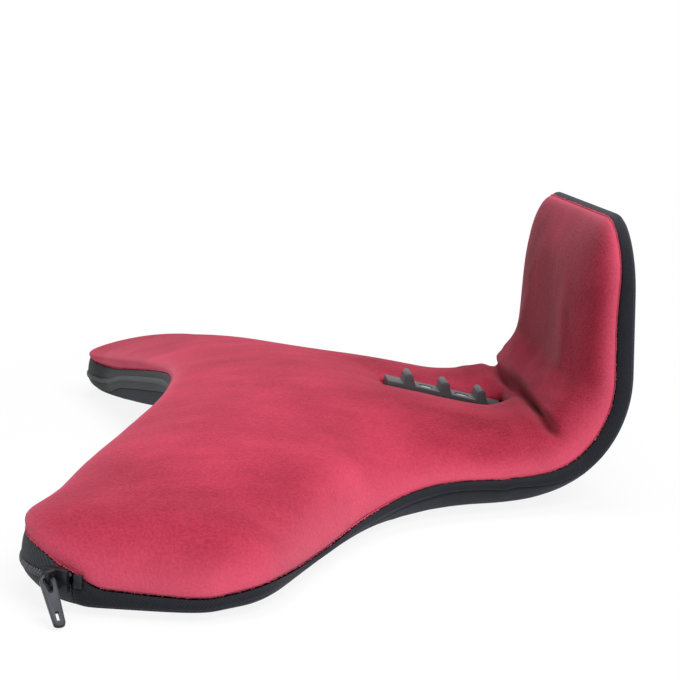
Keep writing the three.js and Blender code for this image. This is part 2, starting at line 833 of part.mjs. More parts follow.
const room = rackRoom();
addPiece('base_top_cover', fromSolid(toSolid(layer(baseRibs, velourLine, velourBackLine)).subtract(room)), velourRed);
addPiece('base_underside', layer(baseRibs, undersideBack, undersideFace), knitBlack);
addPiece('side_band_left', sideStrip(startPastZip(leftBandRibs, true), 0, bandThickness, bandBottom, bandTop),
  knitBlack);
addPiece('side_band_right', sideStrip(startPastZip(rightBandRibs, false), 0, bandThickness, bandBottom, bandTop),
  knitBlack);
addPiece('base_foam_upper',
  fromSolid(toSolid(layer(baseRibs, foamTopLine, (rib) => splitLine(rib, padBottom))).subtract(room)), foamCream);
addPiece('base_foam_lower', foamWithGrooves(baseRibs, stayFrom - layerGap, bendMiddle + groovePast), foamCream);
for (const [side, name] of [[-1, 'left'], [1, 'right']]) {
  addPiece(`base_stay_${name}`, stayRun(side * stayX, stayFrom, bendMiddle, -1, 0), aluminium);
  addPiece(`back_stay_${name}`, stayRun(side * stayX, bendMiddle, stayTop, 1, 0), aluminium);
}

addPiece('zip_tape_lower', sideStrip(zipRibs, 0, bandThickness, bandBottom, (rib) => coilBottom(rib) - zipGap), zipBlack);
addPiece('zip_tape_upper', sideStrip(zipRibs, 0, bandThickness, (rib) => coilTop(rib) + zipGap, bandTop), zipBlack);
addPiece('zip_coil', sideStrip(zipRibs, -coilProud, bandThickness, coilBottom, coilTop), zipBlack);
addPiece('zip_stop_left', zipStop(-1), gunmetal);
addPiece('zip_stop_right', zipStop(1), gunmetal);
addPiece('zip_slider', zipSlider(), gunmetal);
addPiece('zip_pull', zipPull(), gunmetal);

inRack('rack_bar', rackBar(), rackGrey);
inRack('rack_pocket', rackPocket(), velourRed);
inRack('rack_plate', rackPlate(), rackGrey);
inRack('rack_screw_front', rackScrew(screwPlaces[0]), gunmetal);
inRack('rack_screw_rear', rackScrew(screwPlaces[1]), gunmetal);

// Backrest

addPiece('back_front_cover', layer(tailRibs, velourLine, velourBackLine), velourRed);
addPiece('back_rear_cover', layer(tailRibs, undersideBack, undersideFace), knitBlack);
addPiece('back_side_band', sideStrip(tailRibs, 0, bandThickness, bandBottom, bandTop), knitBlack);
addPiece('back_foam_front', layer(tailRibs, foamTopLine, (rib) => splitLine(rib, padBottom)), foamCream);
addPiece('back_foam_rear', foamWithGrooves(tailRibs, bendMiddle - groovePast, stayTop + layerGap), foamCream);

export default object;
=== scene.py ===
# Tablet cushion stand: a splayed velour lap cushion whose tail bends up as a backrest.
# Shapes are worked out in millimetres in the flat layout (x, s, h) that the cloth is cut in, then bent
# up round the backrest's bend and scaled to metres.

import math

import bmesh
import bpy
import numpy as np
from mathutils import Matrix, Vector
from mathutils.kdtree import KDTree


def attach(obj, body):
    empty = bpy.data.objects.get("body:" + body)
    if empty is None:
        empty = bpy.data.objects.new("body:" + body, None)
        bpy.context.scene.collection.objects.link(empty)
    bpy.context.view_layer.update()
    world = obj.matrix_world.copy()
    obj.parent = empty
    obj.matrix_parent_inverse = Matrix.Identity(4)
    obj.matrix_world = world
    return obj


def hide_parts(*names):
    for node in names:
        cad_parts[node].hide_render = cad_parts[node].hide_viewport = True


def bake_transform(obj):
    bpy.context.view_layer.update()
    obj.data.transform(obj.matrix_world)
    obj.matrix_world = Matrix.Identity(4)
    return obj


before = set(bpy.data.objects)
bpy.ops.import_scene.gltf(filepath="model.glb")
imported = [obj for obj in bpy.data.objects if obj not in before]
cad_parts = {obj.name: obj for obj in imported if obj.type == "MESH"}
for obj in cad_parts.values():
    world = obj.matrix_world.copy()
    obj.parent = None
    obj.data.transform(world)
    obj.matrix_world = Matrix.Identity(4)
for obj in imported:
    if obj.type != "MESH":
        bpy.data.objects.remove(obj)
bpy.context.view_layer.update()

MM = 0.001

# Plan of the cushion, right half, at its seams
TIP = (167, -75)
TIP_RADIUS = 34
TIP_FROM = -15
TIP_TO = -136
ZIP_END = -27.5
NOTCH_LINE = [(130, -96.6), (108, -91), (70, -79.5), (35, -69.6), (0, -65), (-35, -69.6)]
TAIL_HALF = 82
TAIL_CORNER = 28

# Round the leg's tip by angle: the upper seam, and how far the toe is lifted
TIP_SEAM = [(-50, 17), (-40, 14.4), (-30, 12.7), (-22, 9.9), (-15, 8)]
TIP_TOE = [(-136, 0.6), (-112, 1.8), (-90, 3), (-65, 2), (-50, 0.2), (-38, 0)]

# Along the flank, the lower and the upper seam come last
FLANK_LINE = [
    (208, -55, 3.0, 6.8), (205.4, -42, 4.0, 7.4), (195, -29, 5.0, 8.3), (157, -12, 4.8, 5.9),
    (121, 7, 5.2, 8.8), (101, 28, 9.0, 13.2), (92, 52, 10.2, 14.0), (82, 102.27, 4, 10),
]

# Bend and backrest
BEND_START = 63
BEND_RADIUS = 50
BEND_LENGTH = BEND_RADIUS * math.pi / 2
BEND_MIDDLE = BEND_START + BEND_LENGTH / 2
BEND_END = BEND_START + BEND_LENGTH
TAIL_END = BEND_END + 59

# Seam heights above the underside
TIP_LOWER = 2.4
ZIP_UPPER = 17
ZIP_MIDDLE = 10.75
WAIST_LOWER = 10.2
WAIST_UPPER = 14.0
BACK_LOWER = 3.2
BACK_UPPER = 9.4
BACK_TOP_UPPER = 7.6

# Share of the bend over which the seams reach the backrest's heights, and how far below the tail's
# rounded corners the upper seam starts to its top height
SEAM_BEND_SHARE = 0.55
TOP_SEAM_BELOW = 12

# The notch's edge is lifted over the lap, most in the middle
LIFT = 20
LIFT_REACH = 146
LIFT_ROUND = 26

# The zip's width between the seams, and where it narrows towards the notch
ZIP_WIDTH = 13.6
NOTCH_ZIP_WIDTH = 9.6
ZIP_NARROWS_FROM = 150
ZIP_NARROWS_OVER = 40

# The toe's lift runs out along the notch over this stretch
TOE_OUT_FROM = 115
TOE_OUT_OVER = 25

# Softness of the velour's edge, as the distance over which it rises, and its bulge over the seam
NOTCH_SOFT = 5
NOTCH_MIDDLE_SOFT = 4
LEG_SOFT = 7
WAIST_SOFT = 20
WAIST_SOFT_OVER = 30
BACK_SOFT = 14
INNER_BULGE = 8
NOTCH_BULGE_POWER = 1.5
LEG_BULGE = 1
BACK_BULGE = 0.8

# Angles round the leg's tip: where its edge turns to the leg's, and where the lower seam drops
TIP_SOFT_FROM = -110
TIP_SOFT_OVER = 70
TIP_BULGE_OVER = 70
TIP_DROP_FROM = -50
TIP_DROP_OVER = 30

# Crown of the padding
HUB = (0, -14, 43.5)
LEG_END = (166, -68, 30)
SLOPE_START = 18
SLOPE_CROWN = 40.5
BEND_CROWN = 29.5
BACK_FOOT_CROWN = 20
BACK_TOP_CROWN = 15.5
BODY_DOME = 20
BODY_DOME_HALF = 85
BODY_DOME_FADE_FROM = 45
BODY_DOME_FADE_OVER = 30
LEG_DOME = 2
LEG_DOME_HALF = 35
CROWN_MERGE = 60

# Rack
RACK_S = 48.5
RACK_FLOOR = 27.28
RACK_SLOPE = math.atan((SLOPE_CROWN - BEND_CROWN) / (BEND_START - SLOPE_START))
SLOT_HALF = 7.9
SLOT_FRONT = 23
SLOT_BACK = 90
SLOT_DIP = 3.6


# Small sums

def lerp(a, b, t):
    return a + (b - a) * t


def smooth(t):
    u = np.clip(t, 0, 1)
    return u * u * (3 - 2 * u)


def place(points):
    """Flat layout points, one (x, s, h) a row, bent up round the bend."""
    x, s, h = np.asarray(points, float).T
    turn = np.clip((s - BEND_START) / BEND_RADIUS, 0, math.pi / 2)
    reach = BEND_RADIUS - h
    y = np.where(s <= BEND_START, s, BEND_START + reach * np.sin(turn))
    rise = np.maximum(s - BEND_END, 0)
    z = np.where(s <= BEND_START, h, BEND_RADIUS - reach * np.cos(turn) + rise)
    return np.stack([x, y, z], 1)


def lift(x):
    span = LIFT_REACH - np.hypot(x, LIFT_ROUND)
    return LIFT * np.maximum(span / (LIFT_REACH - LIFT_ROUND), 0)


# Outline of the seams

SPLINE_STEPS = 24
OUTLINE_SPACING = 3.0

# Points on the outline's stretches before it is divided evenly, and how near two count as one
TIP_POINTS = 60
STRAIGHT_POINTS = 20
CORNER_POINTS = 24
SAME_POINT = 0.05

# The corner where the tip meets the notch is smoothed in this window
INNER_FROM_X = 112
INNER_TO_X = 152
INNER_TO_S = -85
INNER_PASSES = 6


def arc(centre, radius, first, last, count):
    turns = np.radians(np.linspace(first, last, count))
    return np.stack([centre[0] + radius * np.cos(turns), centre[1] + radius * np.sin(turns)], 1)


def spline(points):
    p = np.array(points, float)
    ends = np.vstack([p[:1], p, p[-1:]])
    t = np.linspace(0, 1, SPLINE_STEPS, endpoint=False)[:, None]
    rows = []
    for a, b, c, d in zip(ends[:-3], ends[1:-2], ends[2:-1], ends[3:]):
        leave = (c - a) / 2
        arrive = (d - b) / 2
        cubic = (2 * b - 2 * c + leave + arrive) * t ** 3
        square = (-3 * b + 3 * c - 2 * leave - arrive) * t ** 2
        rows.append(cubic + square + leave * t + b)
    return np.vstack(rows + [p[-1:]])


def lengths(points):
    steps = np.linalg.norm(np.diff(points, axis=0), axis=1)
    return np.concatenate([[0], np.cumsum(steps)])


def bent_seams(s):
    to_back = smooth((s - BEND_START) / (BEND_LENGTH * SEAM_BEND_SHARE))
    to_top = smooth((s - TAIL_END + TAIL_CORNER + TOP_SEAM_BELOW) / TAIL_CORNER)
    upper = lerp(lerp(WAIST_UPPER, BACK_UPPER, to_back), BACK_TOP_UPPER, to_top)
    return lerp(WAIST_LOWER, BACK_LOWER, to_back), upper


# Columns of the outline: place across and along, heights of the lower and the upper seam, softness and
# bulge of the velour's edge, 1 where the zip is, and how far the edge is lifted
X, S, LOWER, UPPER, SOFT, BULGE, ZIP, RAISED = range(8)


def right_half():
    tip = arc(TIP, TIP_RADIUS, TIP_TO, TIP_FROM, TIP_POINTS)
    notch = spline([tip[0]] + NOTCH_LINE)[:-SPLINE_STEPS][::-1]
    flank = spline([(*tip[-1], TIP_LOWER, TIP_SEAM[-1][1])] + FLANK_LINE)
    corner_x = TAIL_HALF - TAIL_CORNER
    corner_s = TAIL_END - TAIL_CORNER
    upward = np.linspace(BEND_MIDDLE, corner_s, STRAIGHT_POINTS)
    inward = np.linspace(corner_x, 0, STRAIGHT_POINTS)
    side = np.stack([np.full(STRAIGHT_POINTS, TAIL_HALF), upward], 1)
    corner = arc((corner_x, corner_s), TAIL_CORNER, 0, 90, CORNER_POINTS)
    top = np.stack([inward, np.full(STRAIGHT_POINTS, TAIL_END)], 1)

    def with_seams(points, *columns):
        columns = [np.broadcast_to(np.asarray(c, float), len(points)) for c in columns]
        return np.column_stack([points[:, :2]] + columns)

    # Along the notch, from its middle to the tip
    level = lift(notch[:, 0]) / LIFT
    toe = TIP_TOE[0][1] * smooth((notch[:, 0] - TOE_OUT_FROM) / TOE_OUT_OVER)
    raised = lift(notch[:, 0]) + toe
    upper = ZIP_UPPER + raised
    narrowed = smooth((ZIP_NARROWS_FROM - notch[:, 0]) / ZIP_NARROWS_OVER)
    lower = upper - lerp(ZIP_WIDTH, NOTCH_ZIP_WIDTH, narrowed)
    soft = lerp(NOTCH_SOFT, NOTCH_MIDDLE_SOFT, level)
    bulge = INNER_BULGE * (1 - level) ** NOTCH_BULGE_POWER
    rows = [with_seams(notch, lower, upper, soft, bulge, 1, raised)]

    # Round the tip
    angle = np.linspace(TIP_TO, TIP_FROM, len(tip))
    raised = lift(tip[:, 0]) + np.interp(angle, *np.array(TIP_TOE).T)
    dropped = smooth((angle - TIP_DROP_FROM) / TIP_DROP_OVER)
    lower = lerp(ZIP_UPPER - ZIP_WIDTH, TIP_LOWER, dropped) + raised
    upper = np.interp(angle, *np.array(TIP_SEAM).T) + raised
    soft = lerp(NOTCH_SOFT, LEG_SOFT, smooth((angle - TIP_SOFT_FROM) / TIP_SOFT_OVER))
    bulge = lerp(INNER_BULGE, LEG_BULGE, smooth((angle - TIP_TO) / TIP_BULGE_OVER))
    rows.append(with_seams(tip, lower, upper, soft, bulge, angle <= ZIP_END, raised))

    # Along the flank to the bend's middle
    bent_lower, bent_upper = bent_seams(flank[:, 1])
    in_bend = flank[:, 1] > BEND_START
    lower = np.where(in_bend, bent_lower, flank[:, 2])
    upper = np.where(in_bend, bent_upper, flank[:, 3])
    soft = lerp(LEG_SOFT, WAIST_SOFT, smooth(flank[:, 1] / WAIST_SOFT_OVER))
    rows.append(with_seams(flank, lower, upper, soft, LEG_BULGE, 0, 0))

    # Up the backrest and over its top
    for points in (side, corner, top):
        lower, upper = bent_seams(points[:, 1])
        rows.append(with_seams(points, lower, upper, BACK_SOFT, BACK_BULGE, 0, 0))
    half = np.vstack(rows)
    steps = np.linalg.norm(np.diff(half[:, :2], axis=0), axis=1)
    return half[np.concatenate([[True], steps > SAME_POINT])]


def whole_outline(spacing):
    """The seams all the way round, anticlockwise from the notch's middle, with outward directions."""
    half = right_half()
    run = lengths(half[:, :2])
    count = int(round(run[-1] / spacing))
    at = np.linspace(0, run[-1], count + 1)
    right = np.stack([np.interp(at, run, column) for column in half.T], 1)
    inner = (right[:, X] > INNER_FROM_X) & (right[:, X] < INNER_TO_X) & (right[:, S] < INNER_TO_S)
    for _ in range(INNER_PASSES):
        softened = right.copy()
        softened[1:-1] = (right[:-2] + 2 * right[1:-1] + right[2:]) / 4
        right = np.where(inner[:, None], softened, right)
    left = right[1:-1][::-1].copy()
    left[:, X] *= -1
    loop = np.vstack([right, left])
    along = np.roll(loop[:, :2], -1, 0) - np.roll(loop[:, :2], 1, 0)
    along /= np.linalg.norm(along, axis=1)[:, None]
    return loop, np.stack([along[:, 1], -along[:, 0]], 1)


# Flat panels: the outline as one face, inset along its seams and cut across into a grid

CUT_TOLERANCE = 0.001
MERGE_DISTANCE = 0.45
SLIVER = 0.05


def flat_panel(line, insets, grid, slot=False):
    bm = bmesh.new()
    middle = bm.faces.new([bm.verts.new((x, s, 0)) for x, s in line])
    for width in insets:
        bmesh.ops.inset_region(
            bm, faces=[middle], thickness=width, use_even_offset=True, use_boundary=True,
        )
    geom = [middle] + list(middle.edges) + list(middle.verts)
    reach = line.max(0)
    cuts = [(0, x) for x in np.arange(-reach[0], reach[0], grid)]
    cuts += [(1, s) for s in np.arange(line[:, 1].min(), reach[1], grid)]
    if slot:
        cuts = [(axis, at) for axis, at in cuts if axis == 1 or abs(abs(at) - SLOT_HALF) > grid / 3]
        cuts += [(0, -SLOT_HALF), (0, SLOT_HALF), (1, SLOT_FRONT), (1, SLOT_BACK)]
    for axis, at in cuts:
        normal = Vector((1, 0, 0)) if axis == 0 else Vector((0, 1, 0))
        cut = bmesh.ops.bisect_plane(
            bm, geom=geom, dist=CUT_TOLERANCE, plane_co=normal * at, plane_no=normal,
        )
        geom = cut["geom"]
    if slot:
        inside = []
        for face in bm.faces:
            centre = face.calc_center_median()
            if abs(centre.x) < SLOT_HALF and SLOT_FRONT < centre.y < SLOT_BACK:
                inside.append(face)
        bmesh.ops.delete(bm, geom=inside, context="FACES")
    bmesh.ops.remove_doubles(bm, verts=bm.verts, dist=MERGE_DISTANCE)
    bmesh.ops.dissolve_degenerate(bm, dist=SLIVER, edges=bm.edges)
    bmesh.ops.recalc_face_normals(bm, faces=bm.faces)
    if bm.faces[0].normal.z < 0:
        bmesh.ops.reverse_faces(bm, faces=bm.faces)
    bm.verts.index_update()
    bm.verts.ensure_lookup_table()
    return bm


def flat_points(bm):
    return np.array([v.co[:2] for v in bm.verts])


LEAST_AREA = 1e-4
LEAST_WEIGHT = 0.02
SETTLE_STEPS = 600
SETTLED = 1e-9


class Spread:
    """Spreads values given at some points of a flat panel smoothly over the rest of it."""

    def __init__(self, bm):
        self.points = flat_points(bm)
        copy = bm.copy()
        bmesh.ops.triangulate(copy, faces=copy.faces)
        corners = np.array([[v.index for v in f.verts] for f in copy.faces])
        copy.free()
        firsts, seconds, weights = [], [], []
        area = np.zeros(len(self.points))
        for a, b, c in (corners.T, np.roll(corners, -1, 1).T, np.roll(corners, -2, 1).T):
            u = self.points[a] - self.points[c]
            v = self.points[b] - self.points[c]
            twice = np.maximum(np.abs(u[:, 0] * v[:, 1] - u[:, 1] * v[:, 0]), LEAST_AREA)
            firsts.append(a)
            seconds.append(b)
            weights.append(np.maximum((u * v).sum(1) / twice / 2, LEAST_WEIGHT))
            area += np.bincount(a, twice / 6, len(area))
        self.first = np.concatenate(firsts)
        self.second = np.concatenate(seconds)
        self.weight = np.concatenate(weights)
        self.area = area

    def settle(self, held, values, reach=None):
        """Values spread from the held points; with a reach they rise to 1 over about that distance."""
        count = len(self.points)
        free = np.ones(count)
        free[held] = 0
        weight = self.weight.copy()
        pull = np.zeros(count)
        if reach is not None:
            weight *= ((reach[self.first] + reach[self.second]) / 2) ** 2
            pull = self.area
        total = np.bincount(self.first, weight, count)
        total = total + np.bincount(self.second, weight, count) + pull

        def strain(v):
            near = np.bincount(self.first, weight * v[self.second], count)
            return total * v - near - np.bincount(self.second, weight * v[self.first], count)

        result = np.zeros(count)
        result[held] = values
        residue = (pull - strain(result)) * free
        step = residue / total
        size = residue @ step
        for _ in range(SETTLE_STEPS):
            if size < SETTLED:
                break
            moved = strain(step) * free
            share = size / (step @ moved)
            result += share * step
            residue -= share * moved
            scaled = residue / total
            grown = residue @ scaled
            step = scaled + grown / size * step
            size = grown
        return result


def crown_on_body(s):
    rise = lerp(HUB[2], SLOPE_CROWN, smooth((s - HUB[1]) / (SLOPE_START - HUB[1])))
    slope = lerp(SLOPE_CROWN, BEND_CROWN, (s - SLOPE_START) / (BEND_START - SLOPE_START))
    foot = lerp(BEND_CROWN, BACK_FOOT_CROWN, smooth((s - BEND_MIDDLE) / (BEND_END - BEND_MIDDLE)))
    back = lerp(BACK_FOOT_CROWN, BACK_TOP_CROWN, (s - BEND_END) / (TAIL_END - BEND_END))
    stretches = [s <= SLOPE_START, s <= BEND_START, s <= BEND_MIDDLE, s <= BEND_END]
    return np.select(stretches, [rise, slope, np.full_like(s, BEND_CROWN), foot], back)


def crown(x, s):
    """Height of the padding over the flat layout, away from its edges."""
    hub = np.array(HUB[:2], float)
    total = np.zeros_like(x)
    weights = np.zeros_like(x)
    for side in (-1, 1):
        along = np.array([side * LEG_END[0], LEG_END[1]]) - hub
        t = np.clip(((x - hub[0]) * along[0] + (s - hub[1]) * along[1]) / (along @ along), 0, 1)
        away = np.hypot(x - hub[0] - t * along[0], s - hub[1] - t * along[1])
        weight = 1 / (away ** 2 + CROWN_MERGE)
        dome = LEG_DOME * np.minimum(away / LEG_DOME_HALF, 1) ** 2
        total += weight * (lerp(HUB[2], LEG_END[2], t ** 2) - dome)
        weights += weight
    on_body = np.maximum(s, HUB[1])
    weight = 1 / (x ** 2 + (s - on_body) ** 2 + CROWN_MERGE)
    weights += weight
    faded = 1 - smooth((s - BODY_DOME_FADE_FROM) / BODY_DOME_FADE_OVER)
    dome = BODY_DOME * np.minimum(x / BODY_DOME_HALF, 1) ** 2 * faded
    total += weight * (crown_on_body(on_body) - dome)
    return total / weights


# Meshes to objects

def to_object(bm, name, material):
    for face in bm.faces:
        face.smooth = True
    mesh = bpy.data.meshes.new(name)
    bm.to_mesh(mesh)
    bm.free()
    mesh.materials.append(material)
    piece = bpy.data.objects.new(name, mesh)
    bpy.context.scene.collection.objects.link(piece)
    return piece


def set_points(bm, points):
    for vert, point in zip(bm.verts, points):
        vert.co = point


def note(mesh, name, values):
    """Keeps a value for every point of the mesh, for its material to read."""
    values = np.asarray(values, np.float32)
    kind = "FLOAT" if values.ndim == 1 else "FLOAT_VECTOR"
    attribute = mesh.attributes.new(name, kind, "POINT")
    attribute.data.foreach_set("value" if kind == "FLOAT" else "vector", values.ravel())


def thicken(piece, thickness):
    """Gives cloth its thickness, inwards, and rounds it off."""
    wall = piece.modifiers.new("cloth thickness", "SOLIDIFY")
    wall.thickness = thickness * MM
    wall.offset = -1
    wall.use_even_offset = True
    round_off = piece.modifiers.new("round off", "SUBSURF")
    round_off.levels = 1
    round_off.render_levels = 1
    round_off.boundary_smooth = "PRESERVE_CORNERS"


def strip(points):
    """A strip of cloth through rows of points, one row for each line along it."""
    across, along = points.shape[:2]
    bm = bmesh.new()
    bmesh.ops.create_grid(bm, x_segments=along - 1, y_segments=across - 1, size=1)
    set_points(bm, place(points.reshape(-1, 3)) * MM)
    return bm


# Finishes

class Strand:
    """A socket of a finish. Sums on it add Math nodes."""

    def __init__(self, finish, socket):
        self.finish = finish
        self.socket = socket

    def sum(self, operation, *values):
        return self.finish.node("ShaderNodeMath", {"operation": operation}, dict(enumerate(values)))

    def __add__(self, other):
        return self.sum("ADD", self, other)

    def __radd__(self, other):
        return self.sum("ADD", other, self)

    def __sub__(self, other):
        return self.sum("SUBTRACT", self, other)

    def __rsub__(self, other):
        return self.sum("SUBTRACT", other, self)

    def __mul__(self, other):
        return self.sum("MULTIPLY", self, other)

    def __rmul__(self, other):
        return self.sum("MULTIPLY", other, self)

    def __truediv__(self, other):
        return self.sum("DIVIDE", self, other)

    def __pow__(self, other):
        return self.sum("POWER", self, other)

    def wave(self):
        return self.sum("SINE", self)

    def size(self):
        return self.sum("ABSOLUTE", self)

    def clipped(self, low, high):
        return self.sum("MINIMUM", self.sum("MAXIMUM", self, low), high)


class Finish:
    """A material, or the room's light, and the nodes that make it."""

    def __init__(self, name, kind="materials"):
        self.material = getattr(bpy.data, kind).new(name)
        self.material.use_nodes = True
        self.tree = self.material.node_tree
        self.tree.nodes.clear()

    def node(self, kind, settings, inputs, output=0):
        made = self.tree.nodes.new(kind)
        for key, value in settings.items():
            setattr(made, key, value)
        for key, value in inputs.items():
            if isinstance(value, Strand):
                self.tree.links.new(value.socket, made.inputs[key])
            else:
                made.inputs[key].default_value = value
        return Strand(self, made.outputs[output]) if made.outputs else None

    def place(self):
        return self.node("ShaderNodeTexCoord", {}, {}, "Object")

    def noted(self, name, output="Fac"):
        return self.node("ShaderNodeAttribute", {"attribute_name": name}, {}, output)

    def noise(self, vector, scale, detail=2, roughness=0.5, stretch=None):
        if stretch:
            vector = self.node("ShaderNodeMapping", {}, {"Vector": vector, "Scale": stretch})
        values = {"Vector": vector, "Scale": scale, "Detail": detail, "Roughness": roughness}
        return self.node("ShaderNodeTexNoise", {}, values)

    def parts(self, vector):
        split = self.node("ShaderNodeSeparateXYZ", {}, {"Vector": vector})
        node = split.socket.node
        return [Strand(self, socket) for socket in node.outputs]

    def mix(self, share, first, second):
        settings = {"data_type": "RGBA"}
        return self.node("ShaderNodeMix", settings, {0: share, 6: first, 7: second}, 2)

    def bump(self, height, strength, distance):
        values = {"Height": height, "Strength": strength, "Distance": distance}
        return self.node("ShaderNodeBump", {}, values)

    def surface(self, inputs):
        shader = self.node("ShaderNodeBsdfPrincipled", {}, inputs)
        self.node("ShaderNodeOutputMaterial", {}, {"Surface": shader})
        return self.material


def rgb(red, green, blue):
    return (red, green, blue, 1)


# Where the painted shade on the leg tips and on the tail starts, and over which length, in metres
TIP_SHADE_FROM = 0.125
TIP_SHADE_OVER = 0.06
TAIL_SHADE_FROM = -0.03
TAIL_SHADE_OVER = 0.1


def velour():
    """Short crimson pile, brushed in patches, with painted shade on the tips and the tail and a painted
    sheen highlight at the seams.
    """
    f = Finish("crimson velour")
    cut = f.noted("cut", "Vector")
    patch = f.noise(cut, 26, 3, 0.55)
    brushed = f.noise(cut, 70, 2, 0.5, stretch=(1, 0.45, 1))
    speckle = f.noise(cut, 950, 1, 0.6)
    # The edge value is 1 at the seams and paints a pale sheen highlight there
    edge = f.noted("edge")
    across, along = f.parts(cut)[:2]
    # Painted shade: the pile is drawn darker towards the leg tips and most up the tail
    to_tip = ((across.size() - TIP_SHADE_FROM) / TIP_SHADE_OVER).clipped(0, 1)
    to_tail = ((along - TAIL_SHADE_FROM) / TAIL_SHADE_OVER).clipped(0, 1)
    painted_shade = 0.06 - to_tip * 0.4 - to_tail * 0.6
    nap = (patch - 0.5) * 1.1 + (brushed - 0.5) * 0.6 + (speckle - 0.5) * 0.9
    # Tone of the pile: brushed patches, the painted sheen at the seams and the painted shade on tips and
    # tail
    shade = ((nap + edge * 0.3 + painted_shade) * 0.725 + 0.64).clipped(0, 1)
    pile = f.mix(shade, rgb(0.20, 0.007, 0.020), rgb(0.60, 0.050, 0.105))
    # Painted sheen highlight: the pile turns paler pink towards the seams
    base = f.mix(edge * edge * 0.5, pile, rgb(0.80, 0.13, 0.21))
    relief = speckle + brushed * 0.6
    return f.surface({
        "Base Color": base,
        "Roughness": 0.95,
        "Specular IOR Level": 0.12,
        "Sheen Weight": 0.16,
        "Sheen Roughness": 0.4,
        "Sheen Tint": rgb(1.0, 0.66, 0.74),
        "Normal": f.bump(relief, 0.5, 0.0006),
    })


# Waves of the knit's ribs and the tape's twill, in radians a metre
RIB_PITCH = 5200
TWILL_PITCH = 4200


def knit():
    """Close black warp knit with fine ribs."""
    f = Finish("black knit")
    cut = f.noted("cut", "Vector")
    across, along = f.parts(cut)[:2]
    ribs = (across * RIB_PITCH).wave() * (along * RIB_PITCH).wave()
    lint = f.noise(cut, 700, 2, 0.6)
    cloud = f.noise(cut, 45, 2, 0.5)
    shade = (ribs * 0.12 + lint * 0.5 + cloud * 0.3).clipped(0, 1)
    base = f.mix(shade, rgb(0.004, 0.0042, 0.006), rgb(0.018, 0.019, 0.026))
    return f.surface({
        "Base Color": base,
        "Roughness": 0.8,
        "Specular IOR Level": 0.18,
        "Sheen Weight": 0.12,
        "Sheen Roughness": 0.5,
        "Sheen Tint": rgb(0.75, 0.80, 0.95),
        "Normal": f.bump(ribs * 0.5 + lint, 0.45, 0.0004),
    })


def woven_tape():
    """Woven zip tape, with twill lines slanting along it."""
    f = Finish("zip tape weave")
    cut = f.noted("cut", "Vector")
    along, across = f.parts(cut)[:2]
    twill = ((along + across) * TWILL_PITCH).wave()
    lint = f.noise(cut, 900, 1, 0.6)
    shade = (twill * 0.3 + lint * 0.6).clipped(0, 1)
    base = f.mix(shade, rgb(0.007, 0.008, 0.011), rgb(0.035, 0.038, 0.050))
    return f.surface({
        "Base Color": base,
        "Roughness": 0.7,
        "Specular IOR Level": 0.35,
        "Normal": f.bump(twill + lint, 0.4, 0.0003),
    })


def nylon():
    """Black nylon coil with a soft gloss, scuffed a little."""
    f = Finish("nylon coil")
    scuff = f.noise(f.place(), 900, 2, 0.6)
    base = f.mix(scuff, rgb(0.022, 0.024, 0.030), rgb(0.075, 0.080, 0.095))
    return f.surface({"Base Color": base, "Roughness": 0.22 + scuff * 0.2, "Specular IOR Level": 0.5})


def gunmetal():
    """Plated zinc, dark, cloudy and finely scratched."""
    f = Finish("gunmetal plating")
    where = f.place()
    scratch = f.noise(where, 1500, 2, 0.6, stretch=(1, 1, 0.15))
    cloud = f.noise(where, 240, 2, 0.5)
    shade = (scratch * 0.5 + cloud * 0.5).clipped(0, 1)
    base = f.mix(shade, rgb(0.010, 0.011, 0.013), rgb(0.045, 0.047, 0.055))
    return f.surface({
        "Base Color": base,
        "Metallic": 0.85,
        "Roughness": 0.3 + scratch * 0.2,
        "Normal": f.bump(scratch, 0.12, 0.0001),
    })


def moulded():
    """Grey moulded plastic with a fine spark texture."""
    f = Finish("moulded rack grey")
    where = f.place()
    grain = f.noise(where, 2600, 2, 0.6)
    cloud = f.noise(where, 120, 2, 0.5)
    shade = (grain * 0.4 + cloud * 0.5).clipped(0, 1)
    base = f.mix(shade, rgb(0.022, 0.025, 0.029), rgb(0.055, 0.060, 0.066))
    return f.surface({
        "Base Color": base,
        "Roughness": 0.42 + grain * 0.18,
        "Specular IOR Level": 0.45,
        "Normal": f.bump(grain, 0.2, 0.0002),
    })


def bare_metal(name, dark, light, roughness):
    """Turned or rolled bare metal."""
    f = Finish(name)
    where = f.place()
    lines = f.noise(where, 700, 2, 0.6, stretch=(1, 0.08, 1))
    base = f.mix(lines, dark, light)
    return f.surface({
        "Base Color": base,
        "Metallic": 1.0,
        "Roughness": roughness + lines * 0.15,
        "Normal": f.bump(lines, 0.15, 0.0001),
    })


velour_red = velour()
knit_black = knit()
tape_black = woven_tape()
coil_black = nylon()
zip_metal = gunmetal()
rack_grey = moulded()
stay_metal = bare_metal("rolled aluminium", rgb(0.45, 0.46, 0.47), rgb(0.68, 0.69, 0.70), 0.32)
screw_steel = bare_metal("screw steel", rgb(0.30, 0.30, 0.31), rgb(0.55, 0.55, 0.56), 0.28)

rim, outward = whole_outline(OUTLINE_SPACING)


def bends(piece):
    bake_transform(piece)


# Velour cover over the padding

VELOUR_THICKNESS = 1.2
VELOUR_INSETS = (0.7, 0.9, 1.2, 1.6, 2.0, 2.6)
VELOUR_GRID = 4.2
AT_SEAM = 0.3
RISE_POWER = 0.6
SEAM_TUCK = 0.5

# Distances from the seam over which its effects fade
BULGE_FADE = 8
TUCK_FADE = 6
SEWN_FADE = 5
# The painted sheen highlight fades over this distance from the seam
SEAM_SHEEN_FADE = 6

